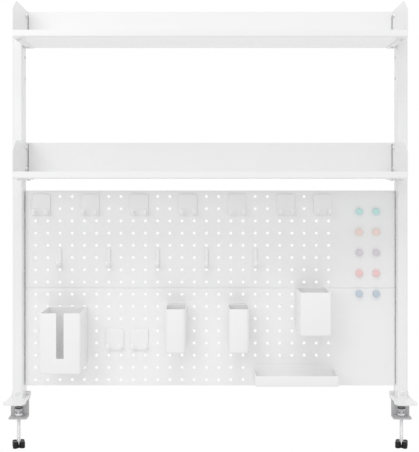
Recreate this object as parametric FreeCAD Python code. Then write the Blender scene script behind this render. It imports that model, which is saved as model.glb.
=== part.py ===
import FreeCAD, Part
import math
import os

# Pegboard desk organizer that clamps to the rear edge of a desk.
# Millimetres. X runs left to right, -Y is the front, +Z is up.
# The origin lies midway between the two posts, in the plane of the desk top.

# ---------------------------------------------------------------- driving dimensions

# posts: upright rectangular tubes
post_centre_x = 390.0            # half of the distance between the two posts' centres
post_width = 20.0
post_depth = 40.0
post_wall = 1.5
post_hole_radius = 3.2           # holes in the inner wall that take the shelf bolts
post_hole_y = 8.0                # their line, behind the post's middle
post_hole_pitch = 43.0
post_top_drop = 1.0              # post's end below the upper shelf's top edge
spare_hole_count = 2
post_cap_thickness = 2.5
post_cap_plug_height = 5.0
post_cap_corner = 1.0

# foot plates: they rest on the desk and carry the posts
foot_thickness = 3.0
foot_rear_half_width = 19.5
foot_flare_half_width = 22.0
foot_nose_half_width = 17.5
foot_straight_length = 55.0      # from the rear edge to where the flare starts
foot_flare_length = 8.0
foot_wide_length = 14.0
foot_nose_length = 10.0
foot_flange_height = 11.0        # low upturned edge at the rear
foot_tab_height = 27.0           # taller tab behind the post
foot_tab_half_width = 10.0
foot_bolt_z = 16.0
foot_bolt_radius = 3.0
foot_bolt_end = 7.0              # length that stands behind the tab
foot_nut_flats = 10.0
foot_nut_height = 5.0
foot_corner_radius = 3.0

# clamp jaws under the foot plates
jaw_thickness = 3.0
jaw_half_width = 18.5
jaw_depth = 26.0                 # reach of the lower jaw in front of the spine
jaw_drop = 38.0                  # from the desk plane down to the jaw's underside
spine_front_y = 5.0
jaw_edge_fillet = 4.0
jaw_screw_radius = 2.5
jaw_screw_spacing = 12.0
jaw_screw_end = 2.5              # length that stands above the foot plate
jaw_screw_flats = 8.0
jaw_screw_head = 3.5

# clamp screws
screw_radius = 4.0
screw_pitch = 1.25
screw_y = -6.0
nut_flats = 13.0
nut_height = 6.5
pad_top_z = -16.0                # top of the pad with the clamp half closed
pad_radius = 8.0
pad_rubber_thickness = 3.0
pad_cup_height = 6.0
pad_cup_wall = 1.5
pad_ball_radius = 4.6
pad_boss_radius = 4.8            # middle of the cup, inside the rubber ring
pad_boss_drop = 0.4              # below the rubber's face
knob_base_z = -98.0
knob_lobe_height = 14.0
knob_hub_height = 7.0            # the hub lies lower than the lobes' tops
knob_hub_radius = 8.0
knob_lobe_radius = 5.4
knob_lobe_offset = 9.8
knob_lobe_count = 4
knob_lobe_turn = 30.0            # degrees from the X axis to the first lobe
knob_edge = 1.5
knob_floor = 1.0                 # under the screw's end

# shelves
shelf_side_gap = 1.5             # between the end plates and the posts
shelf_rear_y = 25.0
shelf_depth = 150.0
shelf_height = 75.0
shelf_lip = 13.0
shelf_sheet = 1.2
shelf_bend = 2.0
end_plate_thickness = 1.5
end_plate_level = 117.0          # length of the level top edge
end_plate_front_drop = 21.0
end_plate_flange = 12.0
end_plate_corner = 3.0
panel_shelf_gap = 24.0           # from the upper panel to the lower shelf
shelf_spacing = 271.0            # between the two shelves' undersides
shelf_bolt_rise = 21.0           # lower bolt above the shelf's underside
shelf_screw_radius = 2.0
shelf_screw_inset = 25.0
shelf_screw_head = 2.2
shelf_screw_end = 0.8            # length that stands above the tray's floor
cross_width = 0.8                # cross recess in screw heads
cross_depth = 1.0
cross_half_length = 2.0

# pegboard panels
panel_side_gap = 1.6
panel_front_y = 3.0
panel_sheet = 1.2
panel_return = 15.0
panel_bottom_z = 26.0
panel_seam = 1.0
peg_pitch = 25.0
peg_columns = 25
peg_rows = 8                     # rows on one panel
peg_margin = 12.0                # from the outer rows to the panel's edges
first_column_x = -357.5
peg_hole_radius = 3.0
panel_screw_inset = 30.0         # from the panel's top and bottom edges
panel_screw_y = 12.0
panel_screw_radius = 2.5

# bolts that hold the shelves and panels
bolt_radius = 3.0
bolt_head_radius = 5.2
bolt_head_height = 3.2
insert_radius = 4.6
insert_length = 9.0

# fits
seat_gap = 0.3                   # between a removable piece and the panel's face
peg_clearance = 0.05             # on the radius
bolt_clearance = 0.2             # on the radius
thread_clearance = 0.05          # on the radius
cap_clearance = 0.1

# pegs on the back of every hung piece
peg_reach = 6.0                  # beyond the panel's front face
peg_tip = 0.8

# where the pieces hang: columns from the left, rows from the top over both panels
top_hook_columns = (0, 4, 8, 12, 16, 20, 23)
top_hook_rows = (0, 1)
low_hook_columns = (6, 8)
low_hook_rows = (11, 12)
j_hook_columns = (2, 6, 10, 14, 18)
j_hook_rows = (5,)
cup_columns = (11, 16)
cup_rows = (9, 10)
slot_box_columns = (2, 3)
slot_box_rows = (10, 12)
small_box_columns = (22, 23)
small_box_rows = (9, 10)
tray_columns = (19, 23)
tray_rows = (14,)

# double hooks: a plate with two prongs
hook_plate_width = 37.0
hook_plate_height = 44.0
hook_plate_thickness = 3.0
hook_plate_corner = 4.0
hook_plate_edge = 1.0
hook_plate_rise = 5.0            # plate above the upper peg row
hook_prong_width = 7.0
hook_prong_thickness = 4.0
hook_prong_spacing = 25.0
hook_prong_reach = 24.0
hook_prong_tip = 13.0
hook_prong_bend = 3.0
hook_prong_rise = 2.0            # prong above the plate's lower edge

# single J hooks
j_width = 8.0
j_thickness = 5.0
j_rise = 19.4
j_drop = 19.0
j_reach = 34.0
j_tip = 14.0
j_bend = 6.0

# tall cups with a rounded back plate
cup_offset = 1.8                 # its middle, from the middle of its pegs
cup_width = 41.0
cup_depth = 80.0
cup_wall = 2.0
cup_drop = 58.0                  # below the lower peg row
cup_rim_rise = 4.4               # front and side rim above the upper peg row
cup_back_rise = 9.0              # back plate above the upper peg row
cup_front_round = 10.0
cup_inner_round_min = 1.0

# slotted box
slot_box_offset = 4.5            # its middle, from the middle of its pegs
slot_box_width = 79.0
slot_box_depth = 107.0
slot_box_drop = 43.0             # below the lower peg row
slot_box_rise = 25.0             # above the upper peg row
slot_width = 14.0
slot_round = 1.0                 # at its lower end
slot_drop = 13.0                 # slot's end below the lower peg row

# small square box
small_box_offset = -0.4
small_box_width = 60.0
small_box_depth = 105.0
small_box_drop = 19.5
small_box_rise = 40.0

# low tray
tray_offset = 3.8
tray_width = 165.0
tray_depth = 75.0
tray_drop = 24.0
tray_rim_drop = 3.0              # front and side rim below the peg row
tray_back_rise = 5.0

box_wall = 2.0
box_round = 3.0
box_back_thickness = 2.5

# magnets
magnet_radius = 7.0
magnet_thickness = 7.0
magnet_edge = 1.2
magnet_side_inset = 38.4         # outer column, from the panel's side
magnet_spacing = 35.0            # between the two columns
magnet_top_inset = 42.8          # from the upper panel's top edge
magnet_pitch = 42.0
magnet_colours = ("teal", "salmon", "lilac", "pink", "blue")

# ---------------------------------------------------------------- derived places

post_inner_x = post_centre_x - post_width / 2
post_outer_x = post_centre_x + post_width / 2
post_front_y = -post_depth / 2
post_rear_y = post_depth / 2
post_bottom_z = foot_thickness
end_plate_outer_x = post_inner_x - shelf_side_gap
end_plate_inner_x = end_plate_outer_x - end_plate_thickness
shelf_front_y = shelf_rear_y - shelf_depth
panel_half_width = post_inner_x - panel_side_gap
panel_height = (peg_rows - 1) * peg_pitch + 2 * peg_margin
upper_panel_z = panel_bottom_z + panel_height + panel_seam
panel_top_z = upper_panel_z + panel_height
lower_shelf_z = panel_top_z + panel_shelf_gap
upper_shelf_z = lower_shelf_z + shelf_spacing
post_top_z = upper_shelf_z + shelf_height - post_top_drop
hang_y = panel_front_y - seat_gap        # back face of every hung piece
pad_bottom_z = pad_top_z - pad_rubber_thickness - pad_cup_height
screw_end_z = knob_base_z + knob_floor
shelf_levels = (lower_shelf_z, upper_shelf_z)
panel_levels = (upper_panel_z, panel_bottom_z)

os.makedirs("parts", exist_ok=True)


def V(x, y, z):
    return FreeCAD.Vector(x, y, z)


X_AXIS = V(1, 0, 0)
Y_AXIS = V(0, 1, 0)
Z_AXIS = V(0, 0, 1)


# ---------------------------------------------------------------- helpers

def block(x0, x1, y0, y1, z0, z1):
    low = V(min(x0, x1), min(y0, y1), min(z0, z1))
    return Part.makeBox(abs(x1 - x0), abs(y1 - y0), abs(z1 - z0), low)


def rod(radius, start, direction, length):
    return Part.makeCylinder(radius, length, start, direction)


def fused(first, *others):
    return first.fuse(list(others)).removeSplitter()


def prism(points, direction):
    wire = Part.makePolygon(points + [points[0]])
    return Part.Face(wire).extrude(direction)


def edges_where(shape, test):
    return [edge for edge in shape.Edges if test(edge)]


def is_along(edge, axis):
    if not isinstance(edge.Curve, Part.Line):
        return False
    return abs(abs(edge.tangentAt(edge.FirstParameter).dot(axis)) - 1) < 1e-6


def rounded_along(shape, axis, radius, test=None):
    """Rounds the straight edges along an axis, those that pass the test."""
    chosen = edges_where(shape, lambda e: is_along(e, axis) and (test is None or test(e.CenterOfMass)))
    return shape.makeFillet(radius, chosen)


def column_x(column):
    return first_column_x + column * peg_pitch


def row_z(row):
    """Rows count from the top, over both panels."""
    panel, step = divmod(row, peg_rows)
    top_row_z = panel_levels[panel] + panel_height - peg_margin
    return top_row_z - step * peg_pitch


def peg_middle(columns):
    return (column_x(columns[0]) + column_x(columns[-1])) / 2


def pegs(places):
    """Straight pegs through the panel at (x, z) places, with tapered tips."""
    radius = peg_hole_radius - peg_clearance
    length = peg_reach - peg_tip
    made = []
    for x, z in places:
        start = V(x, hang_y, z)
        shank = rod(radius, start, Y_AXIS, length + seat_gap)
        tip = Part.makeCone(radius, radius - peg_tip, peg_tip, start + Y_AXIS * (length + seat_gap), Y_AXIS)
        made.append(shank.fuse(tip))
    return made


def peg_places(columns, rows):
    return [(column_x(c), row_z(r)) for c in columns for r in rows]


def hex_prism(flats, height, base):
    corner = flats / 2 / math.cos(math.pi / 6)
    points = []
    for step in range(6):
        angle = math.radians(30 + 60 * step)
        points.append(base + V(corner * math.cos(angle), corner * math.sin(angle), 0))
    return prism(points, Z_AXIS * height)


# ---------------------------------------------------------------- posts and feet

def shelf_bolt_heights(level):
    return [level + shelf_bolt_rise, level + shelf_bolt_rise + post_hole_pitch]


def panel_screw_heights():
    heights = []
    for level in panel_levels:
        heights += [level + panel_screw_inset, level + panel_height - panel_screw_inset]
    return heights


def spare_heights():
    first = shelf_bolt_heights(upper_shelf_z)[0]
    return [first - post_hole_pitch * (i + 1) for i in range(spare_hole_count)]


def make_post(side):
    height = post_top_z - post_bottom_z
    outer = block(post_inner_x, post_outer_x, post_front_y, post_rear_y, post_bottom_z, post_top_z)
    outer = rounded_along(outer, Z_AXIS, 2.0 * post_wall)
    hollow = block(post_inner_x + post_wall, post_outer_x - post_wall, post_front_y + post_wall,
                   post_rear_y - post_wall, post_bottom_z, post_top_z)
    hollow = rounded_along(hollow, Z_AXIS, post_wall)
    tube = outer.cut(hollow)
    holes = []
    for level in shelf_levels:
        for z in shelf_bolt_heights(level):
            holes.append((post_hole_y, z, bolt_radius + bolt_clearance))
    for z in spare_heights():
        holes.append((post_hole_y, z, post_hole_radius))
    for z in panel_screw_heights():
        holes.append((panel_screw_y, z, panel_screw_radius + bolt_clearance))
    drills = []
    for y, z, radius in holes:
        drills.append(rod(radius, V(post_inner_x - post_wall, y, z), X_AXIS, 3 * post_wall))
    foot_start = V(post_centre_x, post_front_y - post_wall, foot_bolt_z)
    drills.append(rod(foot_bolt_radius + bolt_clearance, foot_start, Y_AXIS, post_depth + 2 * post_wall))
    tube = tube.cut(drills)
    return on_side(tube, side)


def on_side(shape, side):
    """Right-hand pieces are drawn; the left one is the mirror image."""
    if side > 0:
        return shape
    return shape.mirror(V(0, 0, 0), X_AXIS)


def make_post_cap(side):
    top = block(post_inner_x, post_outer_x, post_front_y, post_rear_y,
                post_top_z, post_top_z + post_cap_thickness)
    top = rounded_along(top, Z_AXIS, 2.0 * post_wall)
    rim = edges_where(top, lambda e: e.CenterOfMass.z > post_top_z + post_cap_thickness - 0.01)
    top = top.makeFillet(post_cap_corner, rim)
    inset = post_wall + cap_clearance
    plug = block(post_inner_x + inset, post_outer_x - inset, post_front_y + inset, post_rear_y - inset,
                 post_top_z - post_cap_plug_height, post_top_z)
    plug = rounded_along(plug, Z_AXIS, post_wall)
    return on_side(fused(top, plug), side)


def foot_outline():
    """Plan of the foot plate, from the rear edge to the nose, on both sides."""
    rear_y = post_rear_y + foot_thickness
    flare_y = rear_y - foot_straight_length
    wide_y = flare_y - foot_flare_length
    nose_y = wide_y - foot_wide_length
    front_y = nose_y - foot_nose_length
    half = [(foot_rear_half_width, rear_y), (foot_rear_half_width, flare_y),
            (foot_flare_half_width, wide_y), (foot_flare_half_width, nose_y),
            (foot_nose_half_width, front_y)]
    right = [V(post_centre_x + w, y, 0) for w, y in half]
    left = [V(post_centre_x - w, y, 0) for w, y in reversed(half)]
    return right + left


def make_foot_plate(side):
    plate = prism(foot_outline(), Z_AXIS * foot_thickness)
    wide = edges_where(plate, lambda e: is_along(e, Z_AXIS) and e.CenterOfMass.y < post_front_y)
    plate = plate.makeFillet(foot_corner_radius, wide)
    rear_y = post_rear_y + foot_thickness
    flange = block(post_centre_x - foot_rear_half_width, post_centre_x + foot_rear_half_width,
                   post_rear_y, rear_y, 0, foot_flange_height)
    tab = block(post_centre_x - foot_tab_half_width, post_centre_x + foot_tab_half_width,
                post_rear_y, rear_y, 0, foot_tab_height)
    tab = rounded_along(tab, Y_AXIS, foot_corner_radius, lambda c: c.z > foot_flange_height)
    plate = fused(plate, flange, tab)
    drills = [rod(foot_bolt_radius + bolt_clearance, V(post_centre_x, post_rear_y - 1, foot_bolt_z),
                  Y_AXIS, foot_thickness + 2)]
    for x, y in jaw_screw_places():
        drills.append(rod(jaw_screw_radius + thread_clearance, V(x, y, -1), Z_AXIS, foot_thickness + 2))
    return on_side(plate.cut(drills), side)


def jaw_screw_places():
    y = (spine_front_y + jaw_thickness + post_rear_y) / 2
    return [(post_centre_x - jaw_screw_spacing / 2, y), (post_centre_x + jaw_screw_spacing / 2, y)]


# ---------------------------------------------------------------- clamps

def make_jaw_bracket(side):
    """Bent strip: rear flange under the foot, spine, and lower jaw."""
    left = post_centre_x - jaw_half_width
    right = post_centre_x + jaw_half_width
    spine_rear_y = spine_front_y + jaw_thickness
    flange = block(left, right, spine_front_y, post_rear_y + foot_thickness, -jaw_thickness, 0)
    spine = block(left, right, spine_front_y, spine_rear_y, -jaw_drop, 0)
    jaw = block(left, right, spine_front_y - jaw_depth, spine_rear_y, -jaw_drop, -jaw_drop + jaw_thickness)
    jaw = rounded_along(jaw, Z_AXIS, jaw_edge_fillet, lambda c: c.y < spine_front_y - jaw_depth + 1)
    bracket = fused(flange, spine, jaw)
    outer_bend = edges_where(bracket, lambda e: is_along(e, X_AXIS)
                             and abs(e.CenterOfMass.z + jaw_drop) < 0.01
                             and e.CenterOfMass.y > spine_front_y)
    bracket = bracket.makeFillet(jaw_thickness * 0.9, outer_bend)
    drills = [rod(screw_radius + bolt_clearance, V(post_centre_x, screw_y, -jaw_drop - 1),
                  Z_AXIS, jaw_thickness + 2)]
    for x, y in jaw_screw_places():
        drills.append(rod(jaw_screw_radius + bolt_clearance, V(x, y, -jaw_thickness - 1),
                          Z_AXIS, jaw_thickness + 2))
    return on_side(bracket.cut(drills), side)


def make_jaw_screw(x, y):
    head = hex_prism(jaw_screw_flats, jaw_screw_head, V(x, y, -jaw_thickness - jaw_screw_head))
    shank = rod(jaw_screw_radius, V(x, y, -jaw_thickness), Z_AXIS,
                jaw_thickness + foot_thickness + jaw_screw_end)
    return fused(head, shank)


def make_jaw_nut(side):
    base_z = -jaw_drop + jaw_thickness
    nut = hex_prism(nut_flats, nut_height, V(post_centre_x, screw_y, base_z))
    start = V(post_centre_x, screw_y, base_z - 1)
    bore = rod(screw_radius + thread_clearance, start, Z_AXIS, nut_height + 2)
    return on_side(nut.cut(bore), side)


def make_pad_cup(side):
    """Cup that swivels on the ball end of the clamp screw."""
    top_z = pad_top_z - pad_rubber_thickness
    cup = Part.makeCone(pad_radius - pad_cup_wall, pad_radius, pad_cup_height,
                        V(post_centre_x, screw_y, pad_bottom_z), Z_AXIS)
    boss_height = pad_rubber_thickness - pad_boss_drop
    boss = rod(pad_boss_radius, V(post_centre_x, screw_y, top_z), Z_AXIS, boss_height)
    cup = fused(cup, boss)
    ball_z = pad_bottom_z + pad_cup_height / 2
    socket = Part.makeSphere(pad_ball_radius + thread_clearance, V(post_centre_x, screw_y, ball_z))
    roof = block(post_centre_x - pad_radius, post_centre_x + pad_radius, screw_y - pad_radius,
                 screw_y + pad_radius, top_z - pad_cup_wall, top_z)
    socket = socket.cut(roof)
    mouth = rod(screw_radius + thread_clearance, V(post_centre_x, screw_y, pad_bottom_z - 1),
                Z_AXIS, 1 + pad_cup_height / 2)
    return on_side(cup.cut(socket.fuse(mouth)), side)


def make_pad_rubber(side):
    base = V(post_centre_x, screw_y, pad_top_z - pad_rubber_thickness)
    disc = rod(pad_radius, base, Z_AXIS, pad_rubber_thickness)
    rim = edges_where(disc, lambda e: e.CenterOfMass.z > pad_top_z - 0.01)
    disc = disc.makeFillet(pad_rubber_thickness / 4, rim)
    bore = rod(pad_boss_radius + thread_clearance, base - Z_AXIS, Z_AXIS, pad_rubber_thickness + 2)
    return on_side(disc.cut(bore), side)


def make_clamp_screw(side):
    """Rod with a ball at the top, flattened where it meets the pad cup."""
    ball_z = pad_bottom_z + pad_cup_height / 2
    ball = Part.makeSphere(pad_ball_radius, V(post_centre_x, screw_y, ball_z))
    limit_z = pad_top_z - pad_rubber_thickness - pad_cup_wall - thread_clearance
    above = block(post_centre_x - pad_radius, post_centre_x + pad_radius, screw_y - pad_radius,
                  screw_y + pad_radius, limit_z, limit_z + pad_radius)
    ball = ball.cut(above)
    shank = rod(screw_radius, V(post_centre_x, screw_y, screw_end_z), Z_AXIS, ball_z - screw_end_z)
    return on_side(fused(ball, shank), side)


def make_clamp_knob(side):
    """Star knob: lobes stand up around a lower hub that grips the screw's end."""
    hub = rod(knob_hub_radius, V(post_centre_x, screw_y, knob_base_z), Z_AXIS, knob_hub_height)
    lobes = []
    for step in range(knob_lobe_count):
        angle = math.radians(knob_lobe_turn + 360 * step / knob_lobe_count)
        centre = V(post_centre_x + knob_lobe_offset * math.cos(angle),
                   screw_y + knob_lobe_offset * math.sin(angle), knob_base_z)
        lobe = rod(knob_lobe_radius, centre, Z_AXIS, knob_lobe_height)
        lobes.append(lobe.makeChamfer(knob_edge, [e for e in lobe.Edges if e.isClosed()]))
    knob = fused(hub, *lobes)
    bore = rod(screw_radius, V(post_centre_x, screw_y, screw_end_z), Z_AXIS, knob_lobe_height)
    return on_side(knob.cut(bore), side)


# ---------------------------------------------------------------- shelves

def make_shelf_tray(level):
    """Bent sheet: back wall, floor and front lip, between the end plates."""
    half = end_plate_inner_x
    sheet = shelf_sheet
    rear = shelf_rear_y
    front = shelf_front_y
    outline = [(rear, level + shelf_height), (rear, level), (front, level), (front, level + shelf_lip),
               (front + sheet, level + shelf_lip), (front + sheet, level + sheet),
               (rear - sheet, level + sheet), (rear - sheet, level + shelf_height)]
    tray = prism([V(-half, y, z) for y, z in outline], X_AXIS * (2 * half))
    bends = edges_where(tray, lambda e: is_along(e, X_AXIS) and abs(e.CenterOfMass.z - level) < 0.01)
    tray = tray.makeFillet(shelf_bend, bends)
    inner = edges_where(tray, lambda e: is_along(e, X_AXIS) and abs(e.CenterOfMass.z - level - sheet) < 0.01)
    tray = tray.makeFillet(shelf_bend - sheet, inner)
    drills = []
    for x, y in shelf_screw_places():
        drills.append(rod(shelf_screw_radius + thread_clearance, V(x, y, level - 1), Z_AXIS, sheet + 2))
    return tray.cut(drills)


def shelf_screw_places():
    x = end_plate_inner_x - end_plate_flange / 2
    near_rear = shelf_rear_y - shelf_screw_inset
    near_front = shelf_front_y + shelf_screw_inset
    return [(s * x, y) for s in (-1, 1) for y in (near_rear, near_front)]


def make_end_plate(level, side):
    rear = shelf_rear_y
    front = shelf_front_y
    bottom = level - end_plate_thickness
    top = level + shelf_height
    outline = [(rear, bottom), (front, bottom), (front, top - end_plate_front_drop),
               (rear - end_plate_level, top), (rear, top)]
    plate = prism([V(end_plate_inner_x, y, z) for y, z in outline], X_AXIS * end_plate_thickness)
    plate = rounded_along(plate, X_AXIS, end_plate_corner, lambda c: c.z > bottom + 1)
    bend = end_plate_thickness
    flange = block(end_plate_inner_x - end_plate_flange, end_plate_outer_x - bend / 2,
                   front + shelf_bend, rear - shelf_bend, bottom, level)
    plate = fused(plate, flange)
    drills = []
    for z in shelf_bolt_heights(level):
        drills.append(rod(bolt_radius + bolt_clearance, V(end_plate_inner_x - 1, post_hole_y, z), X_AXIS,
                          end_plate_thickness + 2))
    for x, y in shelf_screw_places():
        if x > 0:
            drills.append(rod(shelf_screw_radius + bolt_clearance, V(x, y, bottom - 1), Z_AXIS,
                              end_plate_thickness + 2))
    return on_side(plate.cut(drills), side)


def make_shelf_screw(x, y, level):
    """Pan-head screw from below, through the end plate's flange into the tray."""
    base_z = level - end_plate_thickness
    head_z = base_z - shelf_screw_head
    head = rod(2 * shelf_screw_radius, V(x, y, head_z), Z_AXIS, shelf_screw_head)
    bottom = edges_where(head, lambda e: e.CenterOfMass.z < head_z + 0.01)
    head = head.makeFillet(shelf_screw_head / 2, bottom)
    shank_length = end_plate_thickness + shelf_sheet + shelf_screw_end
    shank = rod(shelf_screw_radius, V(x, y, base_z), Z_AXIS, shank_length)
    return fused(head, shank).cut(cross_recess(V(x, y, head_z), X_AXIS, Y_AXIS, Z_AXIS))


def cross_recess(centre, across, along, inward):
    """Cross to cut from a screw head, centred on the head's outer face."""
    arms = []
    for long_way, short_way in ((across, along), (along, across)):
        corner = centre - inward * cross_depth
        half = long_way * cross_half_length + short_way * (cross_width / 2)
        points = [corner - half, corner - half + long_way * (2 * cross_half_length),
                  corner + half, corner - half + short_way * cross_width]
        arms.append(prism(points, inward * (2 * cross_depth)))
    return fused(*arms)


def make_side_bolt(y, z, seat_x, radius, side):
    """Button-head bolt through a sheet and the post's inner wall, into an insert."""
    head_radius = radius * bolt_head_radius / bolt_radius
    end_x = post_inner_x + post_wall + insert_length
    head = rod(head_radius, V(seat_x - bolt_head_height, y, z), X_AXIS, bolt_head_height)
    crown = edges_where(head, lambda e: e.CenterOfMass.x < seat_x - bolt_head_height + 0.01)
    head = head.makeFillet(bolt_head_height * 0.6, crown)
    socket = []
    corner = radius * 0.65
    for step in range(6):
        angle = math.radians(60 * step)
        across, up = corner * math.cos(angle), corner * math.sin(angle)
        socket.append(V(seat_x - bolt_head_height, y + across, z + up))
    recess = prism(socket, X_AXIS * (bolt_head_height * 0.6))
    shank = rod(radius, V(seat_x, y, z), X_AXIS, end_x - seat_x)
    return on_side(fused(head, shank).cut(recess), side)


def make_insert(y, z, radius, side):
    """Threaded insert behind the post's inner wall."""
    start_x = post_inner_x + post_wall
    body = rod(radius + insert_radius - bolt_radius, V(start_x, y, z), X_AXIS, insert_length)
    bore = rod(radius + thread_clearance, V(start_x - 1, y, z), X_AXIS, insert_length + 2)
    return on_side(body.cut(bore), side)


# ---------------------------------------------------------------- pegboard panels

def make_pegboard(level):
    """Steel sheet with a grid of holes and four edges turned back."""
    low_x, high_x = -panel_half_width, panel_half_width
    low_z, high_z = level, level + panel_height
    corners = [V(low_x, panel_front_y, low_z), V(high_x, panel_front_y, low_z),
               V(high_x, panel_front_y, high_z), V(low_x, panel_front_y, high_z)]
    wires = [Part.makePolygon(corners + [corners[0]])]
    for column in range(peg_columns):
        for row in range(peg_rows):
            centre = V(column_x(column), panel_front_y, level + peg_margin + row * peg_pitch)
            circle = Part.Circle(centre, Y_AXIS, peg_hole_radius)
            wires.append(Part.Wire(circle.toShape()))
    sheet = Part.Face(wires, "Part::FaceMakerBullseye").extrude(Y_AXIS * panel_sheet)
    rear_y = panel_front_y + panel_return
    sides = [block(low_x, low_x + panel_sheet, panel_front_y + panel_sheet, rear_y, low_z, high_z),
             block(high_x - panel_sheet, high_x, panel_front_y + panel_sheet, rear_y, low_z, high_z),
             block(low_x, high_x, panel_front_y + panel_sheet, rear_y, low_z, low_z + panel_sheet),
             block(low_x, high_x, panel_front_y + panel_sheet, rear_y, high_z - panel_sheet, high_z)]
    panel = fused(sheet, *sides)
    rim = edges_where(panel, lambda e: abs(e.CenterOfMass.y - panel_front_y) < 0.01
                      and e.Length > panel_height / 2)
    panel = panel.makeFillet(panel_sheet * 0.8, rim)
    drills = []
    for z in (low_z + panel_screw_inset, high_z - panel_screw_inset):
        for side in (-1, 1):
            start_x = side * panel_half_width - 2 * panel_sheet
            drills.append(rod(panel_screw_radius + bolt_clearance, V(start_x, panel_screw_y, z), X_AXIS,
                              4 * panel_sheet))
    return panel.cut(drills)


# ---------------------------------------------------------------- hung pieces

def make_double_hook(columns, rows):
    """Plate over a 2 by 2 group of holes, with two upturned prongs."""
    centre_x = peg_middle(columns)
    top_z = row_z(rows[0]) + hook_plate_rise
    low_z = top_z - hook_plate_height
    front_y = hang_y - hook_plate_thickness
    half = hook_plate_width / 2
    plate = block(centre_x - half, centre_x + half, front_y, hang_y, low_z, top_z)
    plate = rounded_along(plate, Y_AXIS, hook_plate_corner)
    front_edges = edges_where(plate, lambda e: abs(e.CenterOfMass.y - front_y) < 0.01)
    plate = plate.makeFillet(hook_plate_edge, front_edges)
    prongs = []
    for side in (-1, 1):
        x = centre_x + side * hook_prong_spacing / 2
        prongs.append(make_prong(x, hook_prong_width, low_z + hook_prong_rise, front_y, hook_prong_reach,
                                 hook_prong_tip, hook_prong_thickness, hook_prong_bend))
    return fused(plate, *prongs, *pegs(peg_places(columns, rows)))


def make_prong(x, width, low_z, root_y, reach, tip, thickness, bend):
    """Flat arm that runs forward and turns up at its end."""
    tip_y = root_y - reach
    outline = [(root_y + 1.0, low_z), (tip_y, low_z), (tip_y, low_z + tip), (tip_y + thickness, low_z + tip),
               (tip_y + thickness, low_z + thickness), (root_y + 1.0, low_z + thickness)]
    arm = prism([V(x - width / 2, y, z) for y, z in outline], X_AXIS * width)
    outer = edges_where(arm, lambda e: is_along(e, X_AXIS) and e.CenterOfMass.y < tip_y + 0.01
                        and e.CenterOfMass.z < low_z + 0.01)
    arm = arm.makeFillet(bend + thickness / 2, outer)
    inner = edges_where(arm, lambda e: is_along(e, X_AXIS)
                        and abs(e.CenterOfMass.y - tip_y - thickness) < 0.01
                        and e.CenterOfMass.z < low_z + thickness + 0.01)
    arm = arm.makeFillet(bend, inner)
    end = edges_where(arm, lambda e: is_along(e, X_AXIS) and e.CenterOfMass.z > low_z + tip - 0.01)
    arm = arm.makeFillet(thickness * 0.45, end)
    return arm


def make_j_hook(column, rows):
    """Narrow spine on one peg, with one arm that turns up."""
    x = column_x(column)
    top_z = row_z(rows[0]) + j_rise
    low_z = row_z(rows[-1]) - j_drop
    front_y = hang_y - j_thickness
    spine = block(x - j_width / 2, x + j_width / 2, front_y, hang_y, low_z, top_z)
    top_edges = edges_where(spine, lambda e: is_along(e, Y_AXIS) and e.CenterOfMass.z > top_z - 0.01)
    spine = spine.makeFillet(j_width * 0.45, top_edges)
    arm = make_prong(x, j_width, low_z, front_y, j_reach, j_tip, j_thickness, j_bend)
    hook = fused(spine, arm)
    return fused(hook, *pegs(peg_places((column,), rows)))


def open_box(centre_x, width, depth, low_z, top_z, back_top_z, wall, front_round):
    """Open-topped box with a back plate that may stand above its sides."""
    left = centre_x - width / 2
    right = centre_x + width / 2
    front_y = hang_y - depth
    outer = block(left, right, front_y, hang_y, low_z, top_z)
    outer = rounded_along(outer, Z_AXIS, front_round, lambda c: c.y < front_y + 0.01)
    inner_y = hang_y - box_back_thickness
    inner = block(left + wall, right - wall, front_y + wall, inner_y, low_z + wall, top_z + wall)
    inner = rounded_along(inner, Z_AXIS, max(front_round - wall, cup_inner_round_min),
                          lambda c: c.y < front_y + wall + 0.01)
    shell = outer.cut(inner)
    if back_top_z > top_z:
        plate = block(left, right, inner_y, hang_y, low_z, back_top_z)
        plate = rounded_along(plate, Y_AXIS, min(front_round, back_top_z - top_z + wall),
                              lambda c: c.z > back_top_z - 0.01)
        shell = fused(shell, plate)
    return shell


def make_tall_cup(columns, rows):
    low_z = row_z(rows[-1]) - cup_drop
    rim_z = row_z(rows[0]) + cup_rim_rise
    back_z = row_z(rows[0]) + cup_back_rise
    cup = open_box(peg_middle(columns) + cup_offset, cup_width, cup_depth, low_z, rim_z, back_z,
                   cup_wall, cup_front_round)
    return fused(cup, *pegs(peg_places(columns, rows)))


def make_slot_box(columns, rows):
    centre_x = peg_middle(columns) + slot_box_offset
    top_z = row_z(rows[0]) + slot_box_rise
    box = open_box(centre_x, slot_box_width, slot_box_depth, row_z(rows[-1]) - slot_box_drop, top_z,
                   top_z, box_wall, box_round)
    front_y = hang_y - slot_box_depth
    slot_z = row_z(rows[-1]) - slot_drop
    slot = block(centre_x - slot_width / 2, centre_x + slot_width / 2, front_y - 1,
                 front_y + box_wall + 1, slot_z, top_z + 1)
    slot = rounded_along(slot, Y_AXIS, slot_round, lambda c: c.z < slot_z + 0.01)
    return fused(box.cut(slot), *pegs(peg_places(columns, rows)))


def make_small_box(columns, rows):
    centre_x = peg_middle(columns) + small_box_offset
    top_z = row_z(rows[0]) + small_box_rise
    box = open_box(centre_x, small_box_width, small_box_depth, row_z(rows[-1]) - small_box_drop, top_z,
                   top_z, box_wall, box_round)
    return fused(box, *pegs(peg_places(columns, rows)))


def make_low_tray(columns, rows):
    centre_x = peg_middle(columns) + tray_offset
    row = row_z(rows[0])
    box = open_box(centre_x, tray_width, tray_depth, row - tray_drop, row - tray_rim_drop,
                   row + tray_back_rise, box_wall, box_round)
    return fused(box, *pegs(peg_places(columns, rows)))


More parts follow.
